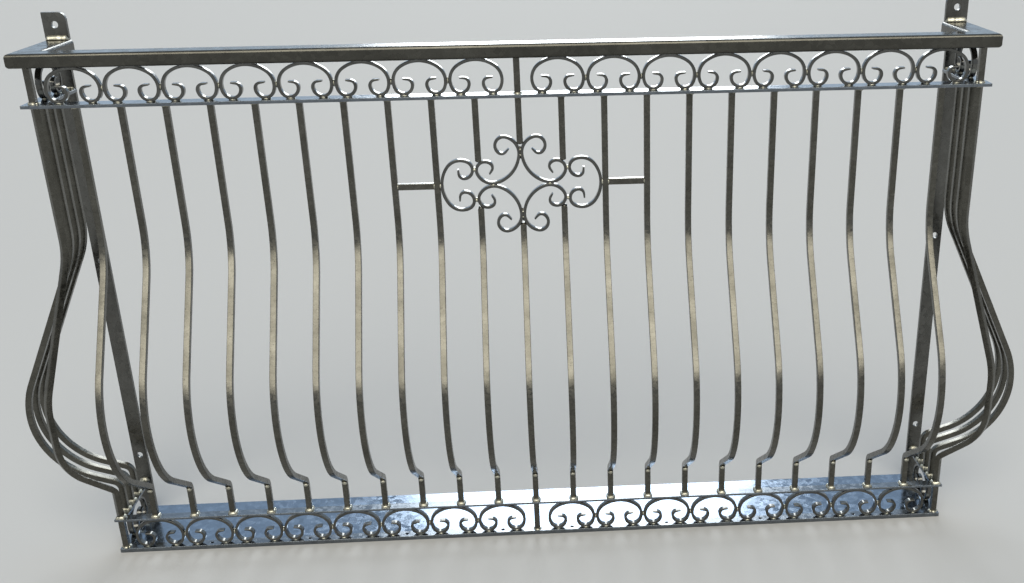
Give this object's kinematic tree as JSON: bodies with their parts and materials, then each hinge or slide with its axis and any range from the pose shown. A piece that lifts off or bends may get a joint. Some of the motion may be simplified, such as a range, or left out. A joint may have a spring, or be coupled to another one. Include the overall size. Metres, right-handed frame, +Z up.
{
  "type": "juliet balcony",
  "caption": "Bow-fronted Juliet balcony of galvanised steel bar with scroll bands, a scroll motif, a floor sheet and two wall plates.",
  "frame": {"origin": "back face of the left wall plate, on its centre line at its lower end, where it meets the wall", "axes": "+X along the wall to the right as seen from outside, +Y into the wall, +Z up"},
  "size_m": [2.836, 0.488, 1.485],
  "materials": {
    "plate_zinc": "hot-dip galvanised flat bar, dulled",
    "handrail_zinc": "hot-dip galvanised hollow section, dulled to a dark olive grey",
    "rail_zinc": "hot-dip galvanised flat bar, bright on its edges",
    "sheet_zinc": "hot-dip galvanised sheet, bright with fine spangle",
    "bar_zinc": "hot-dip galvanised square bar, dulled and mottled",
    "scroll_zinc": "hot-dip galvanised flat bar, bright"
  },
  "bodies": {
    "root": {"wall_plate_left": "plate_zinc", "wall_plate_right": "plate_zinc", "handrail_front": "handrail_zinc", "handrail_left": "handrail_zinc", "handrail_right": "handrail_zinc", "upper_rail_front": "rail_zinc", "upper_rail_left": "rail_zinc", "upper_rail_right": "rail_zinc", "lower_rail_front": "rail_zinc", "lower_rail_left": "rail_zinc", "lower_rail_right": "rail_zinc", "base_rail_front": "rail_zinc", "base_rail_left": "rail_zinc", "base_rail_right": "rail_zinc", "floor_plate": "sheet_zinc", "top_corner_posts": "bar_zinc", "top_middle_post": "bar_zinc", "bottom_corner_posts": "bar_zinc", "bottom_middle_post": "bar_zinc", "top_scrolls_front": "scroll_zinc", "top_scrolls_sides": "scroll_zinc", "bottom_scrolls_front": "scroll_zinc", "bottom_scrolls_sides": "scroll_zinc", "corner_bar_left": "bar_zinc", "corner_bar_right": "bar_zinc", "side_bars_left": "bar_zinc", "side_bars_right": "bar_zinc", "front_bars_left": "bar_zinc", "front_bars_right": "bar_zinc", "front_bars_middle": "bar_zinc", "motif_top_stubs": "bar_zinc", "motif_top_scrolls": "scroll_zinc", "motif_bottom_scrolls": "scroll_zinc", "motif_side_scrolls": "scroll_zinc", "motif_ties": "bar_zinc"}
  },
  "joints": []
}
